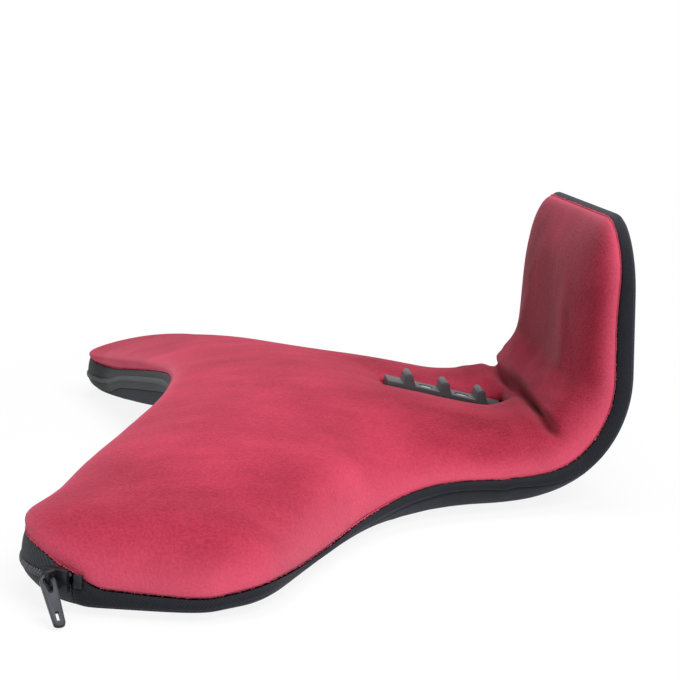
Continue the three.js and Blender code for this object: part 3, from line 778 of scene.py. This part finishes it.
# Fold inside the bend: how far before the bend's middle, how it wanders, its width and its depth from
# the middle to the sides, and where it runs out; then the same for the smaller fold above it
FOLD_BEFORE = 3
FOLD_WANDER = 1.5
FOLD_WAVE = 17
FOLD_WIDTH = 2.4
FOLD_DEPTH = 8
FOLD_SIDE_DEPTH = 15
FOLD_DEEPENS_OVER = 50
FOLD_OUT_FROM = 68
FOLD_OUT_OVER = 14
SMALL_FOLD_ABOVE = 9
SMALL_FOLD_SLANT = 20
SMALL_FOLD_WIDTH = 3
SMALL_FOLD_DEPTH = 3
SMALL_FOLD_IN_FROM = 35
SMALL_FOLD_IN_OVER = 20
SMALL_FOLD_OUT_FROM = 62
SMALL_FOLD_OUT_OVER = 16
FOLD_SEWN_DEPTH = 16


def nearest_seam(points):
    """For each flat point, the nearest point of the outline and how far away that is."""
    tree = KDTree(len(rim))
    for i, row in enumerate(rim):
        tree.insert((row[X], row[S], 0), i)
    tree.balance()
    found = np.array([tree.find((x, s, 0))[1:] for x, s in points])
    return found[:, 0].astype(int), found[:, 1]


def crease(x, s):
    """Depth of the fold that the velour makes inside the bend, and of a smaller one above it."""
    side = np.abs(x)
    line = BEND_MIDDLE - FOLD_BEFORE + FOLD_WANDER * np.sin(x / FOLD_WAVE)
    small_line = line + SMALL_FOLD_ABOVE + side / SMALL_FOLD_SLANT
    fold = 1 / (1 + ((s - line) / FOLD_WIDTH) ** 2)
    small_fold = 1 / (1 + ((s - small_line) / SMALL_FOLD_WIDTH) ** 2)
    depth = lerp(FOLD_DEPTH, FOLD_SIDE_DEPTH, smooth(side / FOLD_DEEPENS_OVER))
    depth = depth * (1 - smooth((side - FOLD_OUT_FROM) / FOLD_OUT_OVER))
    small_depth = SMALL_FOLD_DEPTH * smooth((side - SMALL_FOLD_IN_FROM) / SMALL_FOLD_IN_OVER)
    small_depth = small_depth * (1 - smooth((side - SMALL_FOLD_OUT_FROM) / SMALL_FOLD_OUT_OVER))
    return depth * fold + small_depth * small_fold


SLOT_DIP_REACH = 15
SLOT_DIP_ASPECT = 2.2


def slot_dip(x, s):
    """How far the velour is drawn down round the rack's slot."""
    outside_x = np.maximum(np.abs(x) - SLOT_HALF, 0)
    outside_s = np.maximum(np.maximum(SLOT_FRONT - s, s - SLOT_BACK), 0)
    away = np.hypot(outside_x / SLOT_DIP_ASPECT, outside_s)
    return SLOT_DIP * np.clip(1 - away / SLOT_DIP_REACH, 0, 1) ** 2


SLOT_HEM = 4
SLOT_MARGIN = 1


def turn_in(bm, flat):
    """Turns the velour's edge down into the slot, and says which flat point each point came from."""
    origin = bm.verts.layers.int.new("origin")
    for vert, (x, s) in zip(bm.verts, flat):
        vert[origin] = vert.index
        beside = abs(x) < SLOT_HALF + SLOT_MARGIN
        vert.tag = bool(beside and SLOT_FRONT - SLOT_MARGIN < s < SLOT_BACK + SLOT_MARGIN)
    hem = [e for e in bm.edges if e.is_boundary and e.verts[0].tag and e.verts[1].tag]
    down = Vector((0, -math.sin(RACK_SLOPE), -math.cos(RACK_SLOPE))) * SLOT_HEM * MM
    turned = bmesh.ops.extrude_edge_only(bm, edges=hem)["geom"]
    fresh = [v for v in turned if isinstance(v, bmesh.types.BMVert)]
    bmesh.ops.translate(bm, vec=down, verts=fresh)
    source = np.array([v[origin] for v in bm.verts])
    bm.verts.layers.int.remove(origin)
    return source


# Filling of the cover: it starts this much slack, and no point moves further than the cap
SLACK = 0.8
PRESSURE = 30
SWELL_FRAMES = 20
SWELL_CAP = 3


def swell(piece, held):
    """Fills the cover like a pad, by a cloth simulation with pressure, sewn down where held is 1."""
    start = np.array([v.co[:] for v in piece.data.vertices])
    sewn = piece.vertex_groups.new(name="sewn")
    for index, share in enumerate(held):
        sewn.add([index], float(share), "REPLACE")
    cloth = piece.modifiers.new("filling", "CLOTH")
    cloth.settings.vertex_group_mass = "sewn"
    cloth.settings.pin_stiffness = 1
    cloth.settings.mass = 0.05
    cloth.settings.tension_stiffness = 15
    cloth.settings.compression_stiffness = 15
    cloth.settings.shear_stiffness = 5
    cloth.settings.bending_stiffness = 0.5
    cloth.settings.use_pressure = True
    cloth.settings.uniform_pressure_force = PRESSURE
    cloth.settings.effector_weights.gravity = 0
    cloth.collision_settings.use_collision = False
    cloth.point_cache.frame_end = SWELL_FRAMES
    for number in range(1, SWELL_FRAMES + 1):
        bpy.context.scene.frame_set(number)
    shaped = piece.evaluated_get(bpy.context.evaluated_depsgraph_get())
    moved = np.array([v.co[:] for v in shaped.data.vertices]) - start
    piece.modifiers.remove(cloth)
    piece.vertex_groups.remove(sewn)
    bpy.context.scene.frame_set(1)
    far = np.linalg.norm(moved, axis=1)
    short = np.minimum(SWELL_CAP * MM / np.maximum(far, 1e-9), 1)
    piece.data.vertices.foreach_set("co", (start + moved * short[:, None]).ravel())
    piece.data.update()


def velour_cover():
    bm = flat_panel(rim[:, :2], VELOUR_INSETS, VELOUR_GRID, slot=True)
    spread = Spread(bm)
    x, s = spread.points.T
    seam, away = nearest_seam(spread.points)
    edge = np.flatnonzero(away < AT_SEAM)
    upper, soft, bulge = (
        spread.settle(edge, rim[seam[edge], column]) for column in (UPPER, SOFT, BULGE)
    )
    rise = np.clip(spread.settle(edge, 0, reach=soft), 0, 1) ** RISE_POWER
    h = lerp(upper, crown(x, s) - SLACK, rise) - crease(x, s) * rise - slot_dip(x, s)
    out = bulge * 2 * rise * np.sqrt(1 - rise ** 2) * np.exp(-away / BULGE_FADE)
    out -= SEAM_TUCK * np.exp(-away / TUCK_FADE)
    flat = np.stack([x + outward[seam, 0] * out, s + outward[seam, 1] * out, h], 1)
    set_points(bm, place(flat) * MM)
    source = turn_in(bm, spread.points)
    piece = to_object(bm, "velour_cover", velour_red)
    held = np.maximum(np.exp(-away / SEWN_FADE), slot_dip(x, s) / SLOT_DIP)
    held = np.clip(held + crease(x, s) / FOLD_SEWN_DEPTH, 0, 1)
    swell(piece, held[source])
    note(piece.data, "cut", np.stack([x, s, h], 1)[source] * MM)
    # Painted sheen highlight: full at the seam, fading inwards
    note(piece.data, "edge", np.exp(-away / SEAM_SHEEN_FADE)[source])
    thicken(piece, VELOUR_THICKNESS)
    return piece


cover = velour_cover()
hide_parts("base_top_cover", "back_front_cover", "base_foam_upper", "back_foam_front")
bends(cover)


# Edge of the pile, standing out in tufts along the upper seam

def many(shape, places):
    """One mesh with a copy of a small shape at each place."""
    bm = bmesh.new()
    for spot in places:
        copy = shape.copy()
        copy.transform(spot)
        bm.from_mesh(copy)
        bpy.data.meshes.remove(copy)
    return bm


def small_mesh(make, **settings):
    bm = bmesh.new()
    make(bm, **settings)
    mesh = bpy.data.meshes.new("small shape")
    bm.to_mesh(mesh)
    bm.free()
    return mesh


# The shift is a share of the spacing, the lengths are shares of the length, the drops of a tuft's own
TUFT_SEED = 11
TUFT_SPACING = 0.5
TUFT_SHIFT = 0.3
TUFT_LENGTH = 0.6
TUFT_LENGTHS = (0.6, 1.2)
TUFT_DROPS = (-0.9, 0.1)
TUFT_ROOT = 0.34
TUFT_END = 0.08
TUFT_INSET = 0.8
TUFT_RISE = 0.35

# The pile of the legs' outer sides lies over the seam and hides its tufts
LEG_TUFT_INSET = 0.7
LEG_SIDE_FROM = 10
LEG_SIDE_OVER = 20


def pile_fringe():
    chance = np.random.default_rng(TUFT_SEED)
    closed = np.vstack([rim, rim[:1]])
    facing = np.vstack([outward, outward[:1]])
    run = lengths(closed[:, :2])
    at = np.arange(0, run[-1], TUFT_SPACING)
    at = at + chance.uniform(-TUFT_SHIFT, TUFT_SHIFT, len(at)) * TUFT_SPACING
    x, s, h, zip_there = (np.interp(at, run, closed[:, column]) for column in (X, S, UPPER, ZIP))
    out = np.stack([np.interp(at, run, facing[:, axis]) for axis in (0, 1)], 1)
    on_leg = smooth((LEG_SIDE_FROM - s) / LEG_SIDE_OVER) * (1 - zip_there)
    inset = TUFT_INSET + LEG_TUFT_INSET * on_leg
    x, s = x - out[:, 0] * inset, s - out[:, 1] * inset
    roots = np.stack([x, s, h + TUFT_RISE], 1)
    reach = TUFT_LENGTH * chance.uniform(*TUFT_LENGTHS, len(at))
    drop = reach * chance.uniform(*TUFT_DROPS, len(at))
    tips = roots + np.column_stack([out * reach[:, None], drop])
    roots, tips = place(roots), place(tips)
    tuft = small_mesh(
        bmesh.ops.create_cone, segments=3, radius1=TUFT_ROOT, radius2=TUFT_END, depth=1, cap_ends=True,
    )
    places = []
    for root, end in zip(roots, tips):
        away = Vector(end - root)
        turn = away.to_track_quat("Z", "Y").to_matrix().to_4x4()
        stretch = Matrix.Diagonal((1, 1, away.length, 1))
        middle = Matrix.Translation(Vector((root + end) / 2))
        places.append(Matrix.Scale(MM, 4) @ middle @ turn @ stretch)
    bm = many(tuft, places)
    points = np.array([v.co[:] for v in bm.verts])
    piece = to_object(bm, "pile_fringe", velour_red)
    note(piece.data, "cut", points)
    # The tufts carry the full painted sheen highlight
    note(piece.data, "edge", np.ones(len(points)))
    return piece


fringe = pile_fringe()
bends(fringe)


# Knit underside and rear

KNIT_THICKNESS = 1.4
KNIT_INSETS = (1.2, 1.6, 2.2, 3.0)
KNIT_GRID = 6
ZIP_TUCK = 1.2
ZIP_TUCK_FADE = 5

# Roll of the edge down to the ground, on the legs and at the neck: how it fades and where it ends
ROLL_FADE = 4.8
ROLL_END = 13
NECK_ROLL_FADE = 7
NECK_ROLL_END = 22
NECK_FROM = 15
NECK_OVER = 35

# Hollow under the lifted edge of the notch: it reaches further in where the edge is higher
SCOOP_REACH = 14
SCOOP_SHARE = 4.6
SCOOP_LIMIT = 85


def underside():
    bm = flat_panel(rim[:, :2], KNIT_INSETS, KNIT_GRID)
    points = flat_points(bm)
    x, s = points.T
    seam, away = nearest_seam(points)
    raised = rim[seam, RAISED]
    at_neck = smooth((s - NECK_FROM) / NECK_OVER)
    roll = np.exp(-away / lerp(ROLL_FADE, NECK_ROLL_FADE, at_neck))
    roll = np.where(away > lerp(ROLL_END, NECK_ROLL_END, at_neck), 0, roll)
    scoop = smooth(1 - away / np.minimum(SCOOP_REACH + SCOOP_SHARE * raised, SCOOP_LIMIT))
    h = (rim[seam, LOWER] - raised) * roll + raised * scoop
    tuck = (ZIP_TUCK * rim[seam, ZIP] * np.exp(-away / ZIP_TUCK_FADE))[:, None]
    flat = np.column_stack([points - outward[seam] * tuck, h])
    set_points(bm, place(flat) * MM)
    bmesh.ops.reverse_faces(bm, faces=bm.faces)
    piece = to_object(bm, "knit_underside", knit_black)
    note(piece.data, "cut", np.stack([x, s, h], 1) * MM)
    thicken(piece, KNIT_THICKNESS)
    return piece


under = underside()
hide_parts("base_underside", "back_rear_cover", "base_foam_lower", "back_foam_rear")
bends(under)


# Side band between the two panels, and the zip round the leg tips and the notch

BAND_THICKNESS = 1.2
BAND_ROWS = 6
BAND_PROUD = 0.9
TAPE_THICKNESS = 0.9
TAPE_ROWS = 5
TAPE_PROUD = 1.2
TAPE_ROUND = 0.7
TAPE_GAP = 0.9

zipped = rim[:, ZIP] > 0.5
on_left = rim[:, X] < 0
zip_order = np.concatenate([np.flatnonzero(zipped & on_left), np.flatnonzero(zipped & ~on_left)])
plain = np.flatnonzero(~zipped)
band_order = np.arange(plain[0] - 1, plain[-1] + 2)


def side_piece(name, material, order, low, high, proud, steps, thickness):
    """A strip on the side: its edges' heights are low and high, and proud says how it stands out."""
    line = rim[order]
    out = outward[order]
    rows = []
    for t in np.linspace(0, 1, steps + 1):
        shift = out * proud(t)
        rows.append(np.column_stack([line[:, :2] + shift, lerp(low, high, t)]))
    rows = np.array(rows)
    piece = to_object(strip(rows), name, material)
    run = np.tile(lengths(line[:, :2]), (steps + 1, 1))
    cut = np.stack([run, rows[:, :, 2], np.zeros_like(run)], 2)
    note(piece.data, "cut", cut.reshape(-1, 3) * MM)
    thicken(piece, thickness)
    return piece


def band_rounded(t):
    return BAND_PROUD * math.sin(math.pi * t) - SEAM_TUCK * t ** 4


def lower_tape_rounded(t):
    return lerp(-ZIP_TUCK, TAPE_PROUD, math.sin(math.pi * t / 2) ** TAPE_ROUND)


def upper_tape_rounded(t):
    return TAPE_PROUD * math.cos(math.pi * t / 2) ** TAPE_ROUND - SEAM_TUCK * t ** 2


band = side_piece(
    "side_band", knit_black, band_order, rim[band_order, LOWER], rim[band_order, UPPER],
    band_rounded, BAND_ROWS, BAND_THICKNESS,
)
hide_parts("side_band_left", "side_band_right", "back_side_band")
bends(band)

# Along the notch the coil sits a little higher between the seams
COIL_RAISED = 2
COIL_RAISED_FROM = 135
COIL_RAISED_OVER = 40

zip_line = rim[zip_order]
zip_across = np.abs(zip_line[:, X])
coil_height = ZIP_MIDDLE + lift(zip_across)
coil_height = coil_height + COIL_RAISED * smooth((COIL_RAISED_FROM - zip_across) / COIL_RAISED_OVER)

tape_lower = side_piece(
    "zip_tape_under", tape_black, zip_order, zip_line[:, LOWER], coil_height - TAPE_GAP,
    lower_tape_rounded, TAPE_ROWS, TAPE_THICKNESS,
)
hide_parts("zip_tape_lower")
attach(tape_lower, "base")

tape_upper = side_piece(
    "zip_tape_over", tape_black, zip_order, coil_height + TAPE_GAP, zip_line[:, UPPER],
    upper_tape_rounded, TAPE_ROWS, TAPE_THICKNESS,
)
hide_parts("zip_tape_upper")
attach(tape_upper, "base")

TOOTH_SPACING = 0.75
TOOTH_STAGGER = 0.35
TOOTH_PROUD = 1.1
TOOTH_SHAPE = (0.9, 0.42, 1.0)
COIL_END_GAP = 2


def coil():
    run = lengths(zip_line[:, :2])
    at = np.arange(COIL_END_GAP, run[-1] - COIL_END_GAP, TOOTH_SPACING)
    x, s = (np.interp(at, run, zip_line[:, axis]) for axis in (0, 1))
    out = np.stack([np.interp(at, run, outward[zip_order, axis]) for axis in (0, 1)], 1)
    stagger = np.where(np.arange(len(at)) % 2, TOOTH_STAGGER, -TOOTH_STAGGER)
    spots = np.column_stack([x, s, np.interp(at, run, coil_height) + stagger])
    spots[:, :2] += out * TOOTH_PROUD
    tooth = small_mesh(bmesh.ops.create_uvsphere, u_segments=6, v_segments=4, radius=1)
    shape = Matrix.Diagonal((*TOOTH_SHAPE, 1))
    places = []
    for spot, (east, north) in zip(spots, out):
        turn = Matrix.Rotation(math.atan2(north, east), 4, "Z")
        places.append(Matrix.Scale(MM, 4) @ Matrix.Translation(Vector(spot)) @ turn @ shape)
    return to_object(many(tooth, places), "coil_teeth", coil_black)


teeth = coil()
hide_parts("zip_coil")
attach(teeth, "base")


# Small rigid pieces: the solids with their edges eased

TOUCHING = 1e-6
FLAT_ANGLE = math.radians(1)
SHARP_ANGLE = math.radians(35)


def eased(node, name, material, body, width):
    bm = bmesh.new()
    bm.from_mesh(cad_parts[node].data)
    bmesh.ops.remove_doubles(bm, verts=bm.verts, dist=TOUCHING)
    bmesh.ops.dissolve_limit(bm, angle_limit=FLAT_ANGLE, verts=bm.verts, edges=bm.edges)
    sharp = [e for e in bm.edges if len(e.link_faces) == 2 and e.calc_face_angle(0) > SHARP_ANGLE]
    bmesh.ops.bevel(
        bm, geom=sharp, offset=width * MM, offset_type="OFFSET", affect="EDGES",
        segments=2, profile=0.5, material=-1, clamp_overlap=True,
    )
    bmesh.ops.triangulate(bm, faces=bm.faces)
    piece = to_object(bm, name, material)
    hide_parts(node)
    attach(piece, body)
    return piece


eased("zip_slider", "slider_body", zip_metal, "slider", 0.25)
tab = eased("zip_pull", "pull_tab", zip_metal, "pull", 0.2)
eased("zip_stop_left", "end_stop_left", zip_metal, "base", 0.25)
eased("zip_stop_right", "end_stop_right", zip_metal, "base", 0.25)
eased("rack_bar", "rack_prongs", rack_grey, "base", 0.5)
eased("rack_screw_front", "screw_front", screw_steel, "base", 0.2)
eased("rack_screw_rear", "screw_rear", screw_steel, "base", 0.2)

# The pull's eye, how narrow its tab is drawn, and where along it that starts, in metres
PULL_EYE = np.array([0.1990253, -0.0991328, 0.01075])
PULL_NARROWING = 0.68
PULL_NARROWS_FROM = 0.003
PULL_NARROWS_OVER = 0.005


def narrow(piece, eye, share):
    """Draws a pull in beyond its eye, along its length."""
    points = np.array([v.co[:] for v in piece.data.vertices])
    away = points - eye
    along = away.mean(0) * (1, 1, 0)
    along /= np.linalg.norm(along)
    aside = np.array([-along[1], along[0], 0])
    drawn = (share - 1) * smooth((away @ along - PULL_NARROWS_FROM) / PULL_NARROWS_OVER)
    points += np.outer(away @ aside * drawn, aside)
    piece.data.vertices.foreach_set("co", points.ravel())
    piece.data.update()


narrow(tab, PULL_EYE, PULL_NARROWING)

for name in ("base_stay_left", "base_stay_right", "back_stay_left", "back_stay_right", "rack_plate"):
    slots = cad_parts[name].data.materials
    slots.clear()
    slots.append(stay_metal)


# Velour lining of the rack's slot: a floor with its sides turned up, each row so much higher and wider

LINING_THICKNESS = 1.0
LINING_HALF = 8.2
LINING_HALF_LENGTH = 26.4
LINING_SUNK = 0.3
LINING_SIDES = ((0.5, 0.2), (0.4, 0.2), (0.3, 0.3))
SIDES_HALF = 8
SIDES_HALF_LENGTH = 25


def slot_lining():
    bm = bmesh.new()
    bmesh.ops.create_grid(bm, x_segments=4, y_segments=12, size=1)
    bmesh.ops.scale(bm, vec=(LINING_HALF, LINING_HALF_LENGTH, 1), verts=bm.verts)
    bmesh.ops.translate(bm, vec=(0, 0, -LINING_SUNK), verts=bm.verts)
    wall = [e for e in bm.edges if e.is_boundary]
    for higher, wider in LINING_SIDES:
        grown = bmesh.ops.extrude_edge_only(bm, edges=wall)["geom"]
        moved = [v for v in grown if isinstance(v, bmesh.types.BMVert)]
        for v in moved:
            v.co.z += higher
            v.co.x *= 1 + wider / SIDES_HALF
            v.co.y *= 1 + wider / SIDES_HALF_LENGTH
        wall = [e for e in grown if isinstance(e, bmesh.types.BMEdge) and e.is_boundary]
    bmesh.ops.recalc_face_normals(bm, faces=bm.faces)
    turn = Matrix.Rotation(-RACK_SLOPE, 4, "X")
    frame_to = Matrix.Scale(MM, 4) @ Matrix.Translation((0, RACK_S, RACK_FLOOR)) @ turn
    local = np.array([v.co[:] for v in bm.verts])
    bmesh.ops.transform(bm, matrix=frame_to, verts=bm.verts)
    bm.normal_update()
    if bm.faces[0].normal.z < 0:
        bmesh.ops.reverse_faces(bm, faces=bm.faces)
    piece = to_object(bm, "slot_lining", velour_red)
    note(piece.data, "cut", local * MM)
    # No painted sheen highlight on the lining
    note(piece.data, "edge", np.zeros(len(local)))
    thicken(piece, LINING_THICKNESS)
    return piece


lining = slot_lining()
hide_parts("rack_pocket")
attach(lining, "base")


# Floor, light and camera

FLOOR_HALF = 4
FLOOR_BELOW = 0.0004

# The floor keeps some shadow near the object and turns white further out
WHITE_NEAR = 0.88
WHITE_FROM = 0.22
WHITE_GROWTH = 0.8

ROOM_LIGHT = 0.22
WHITE = (1, 1, 1, 1)


def white_rays(f):
    """1 for what the camera sees, straight on, mirrored or through glass."""
    path = f.node("ShaderNodeLightPath", {}, {}).socket.node
    straight, mirrored, through = (
        Strand(f, path.outputs[kind])
        for kind in ("Is Camera Ray", "Is Glossy Ray", "Is Transmission Ray")
    )
    return (straight + mirrored + through).clipped(0, 1)


def floor():
    bm = bmesh.new()
    bmesh.ops.create_grid(bm, x_segments=2, y_segments=2, size=FLOOR_HALF)
    bmesh.ops.translate(bm, vec=(0, 0, -FLOOR_BELOW), verts=bm.verts)
    f = Finish("white floor")
    where = f.place()
    tone = f.mix(f.noise(where, 6, 2, 0.5), rgb(0.86, 0.86, 0.86), rgb(0.9, 0.9, 0.9))
    matt = {"Base Color": tone, "Roughness": 0.9, "Specular IOR Level": 0.1}
    lit = f.node("ShaderNodeBsdfPrincipled", {}, matt)
    glow = f.node("ShaderNodeEmission", {}, {"Color": WHITE, "Strength": 1.0})
    x, y = f.parts(where)[:2]
    away = (x * x + y * y) ** 0.5
    white = ((away - WHITE_FROM) * WHITE_GROWTH + WHITE_NEAR).clipped(WHITE_NEAR, 1)
    shown = f.node("ShaderNodeMixShader", {}, {0: white_rays(f) * white, 1: lit, 2: glow})
    f.node("ShaderNodeOutputMaterial", {}, {"Surface": shown})
    piece = to_object(bm, "floor", f.material)


floor()


def area_light(name, spot, aim, size, power):
    data = bpy.data.lights.new(name, "AREA")
    data.shape = "DISK"
    data.size = size
    data.energy = power
    lamp = bpy.data.objects.new(name, data)
    lamp.location = spot
    lamp.rotation_euler = (Vector(aim) - Vector(spot)).to_track_quat("-Z", "Y").to_euler()
    bpy.context.scene.collection.objects.link(lamp)


AIM = (0, 0.02, 0.03)
area_light("key_light", (1.0, 0.7, 1.3), AIM, 0.9, 20)
area_light("front_light", (1.5, -0.1, 0.6), AIM, 0.9, 5)
area_light("top_light", (-0.3, 0.1, 1.6), AIM, 1.2, 14)

sky = Finish("studio", "worlds")
bpy.context.scene.world = sky.material
dim = sky.node("ShaderNodeBackground", {}, {"Color": WHITE, "Strength": ROOM_LIGHT})
white = sky.node("ShaderNodeBackground", {}, {"Color": WHITE, "Strength": 1.0})
shown = sky.node("ShaderNodeMixShader", {}, {0: white_rays(sky), 1: dim, 2: white})
sky.node("ShaderNodeOutputWorld", {}, {"Surface": shown})

# The photo's camera: where it stands, its own right, up and back, and its focal length
CAMERA_AT = Vector((0.730709, -0.049318, 0.170))
RIGHT = Vector((0.0749022, 0.9971909, 0))
UP = Vector((-0.1575586, 0.0118347, 0.9874387))
BACK = RIGHT.cross(UP)
FOCAL_LENGTH = 94.235

lens = bpy.data.cameras.new("photo camera")
lens.lens = FOCAL_LENGTH
lens.sensor_width = 36
lens.clip_start = 0.01
camera = bpy.data.objects.new("photo_camera", lens)
camera.matrix_world = Matrix((
    (RIGHT.x, UP.x, BACK.x, CAMERA_AT.x),
    (RIGHT.y, UP.y, BACK.y, CAMERA_AT.y),
    (RIGHT.z, UP.z, BACK.z, CAMERA_AT.z),
    (0, 0, 0, 1),
))
bpy.context.scene.collection.objects.link(camera)
bpy.context.scene.camera = camera

bpy.context.scene.view_settings.view_transform = "Standard"
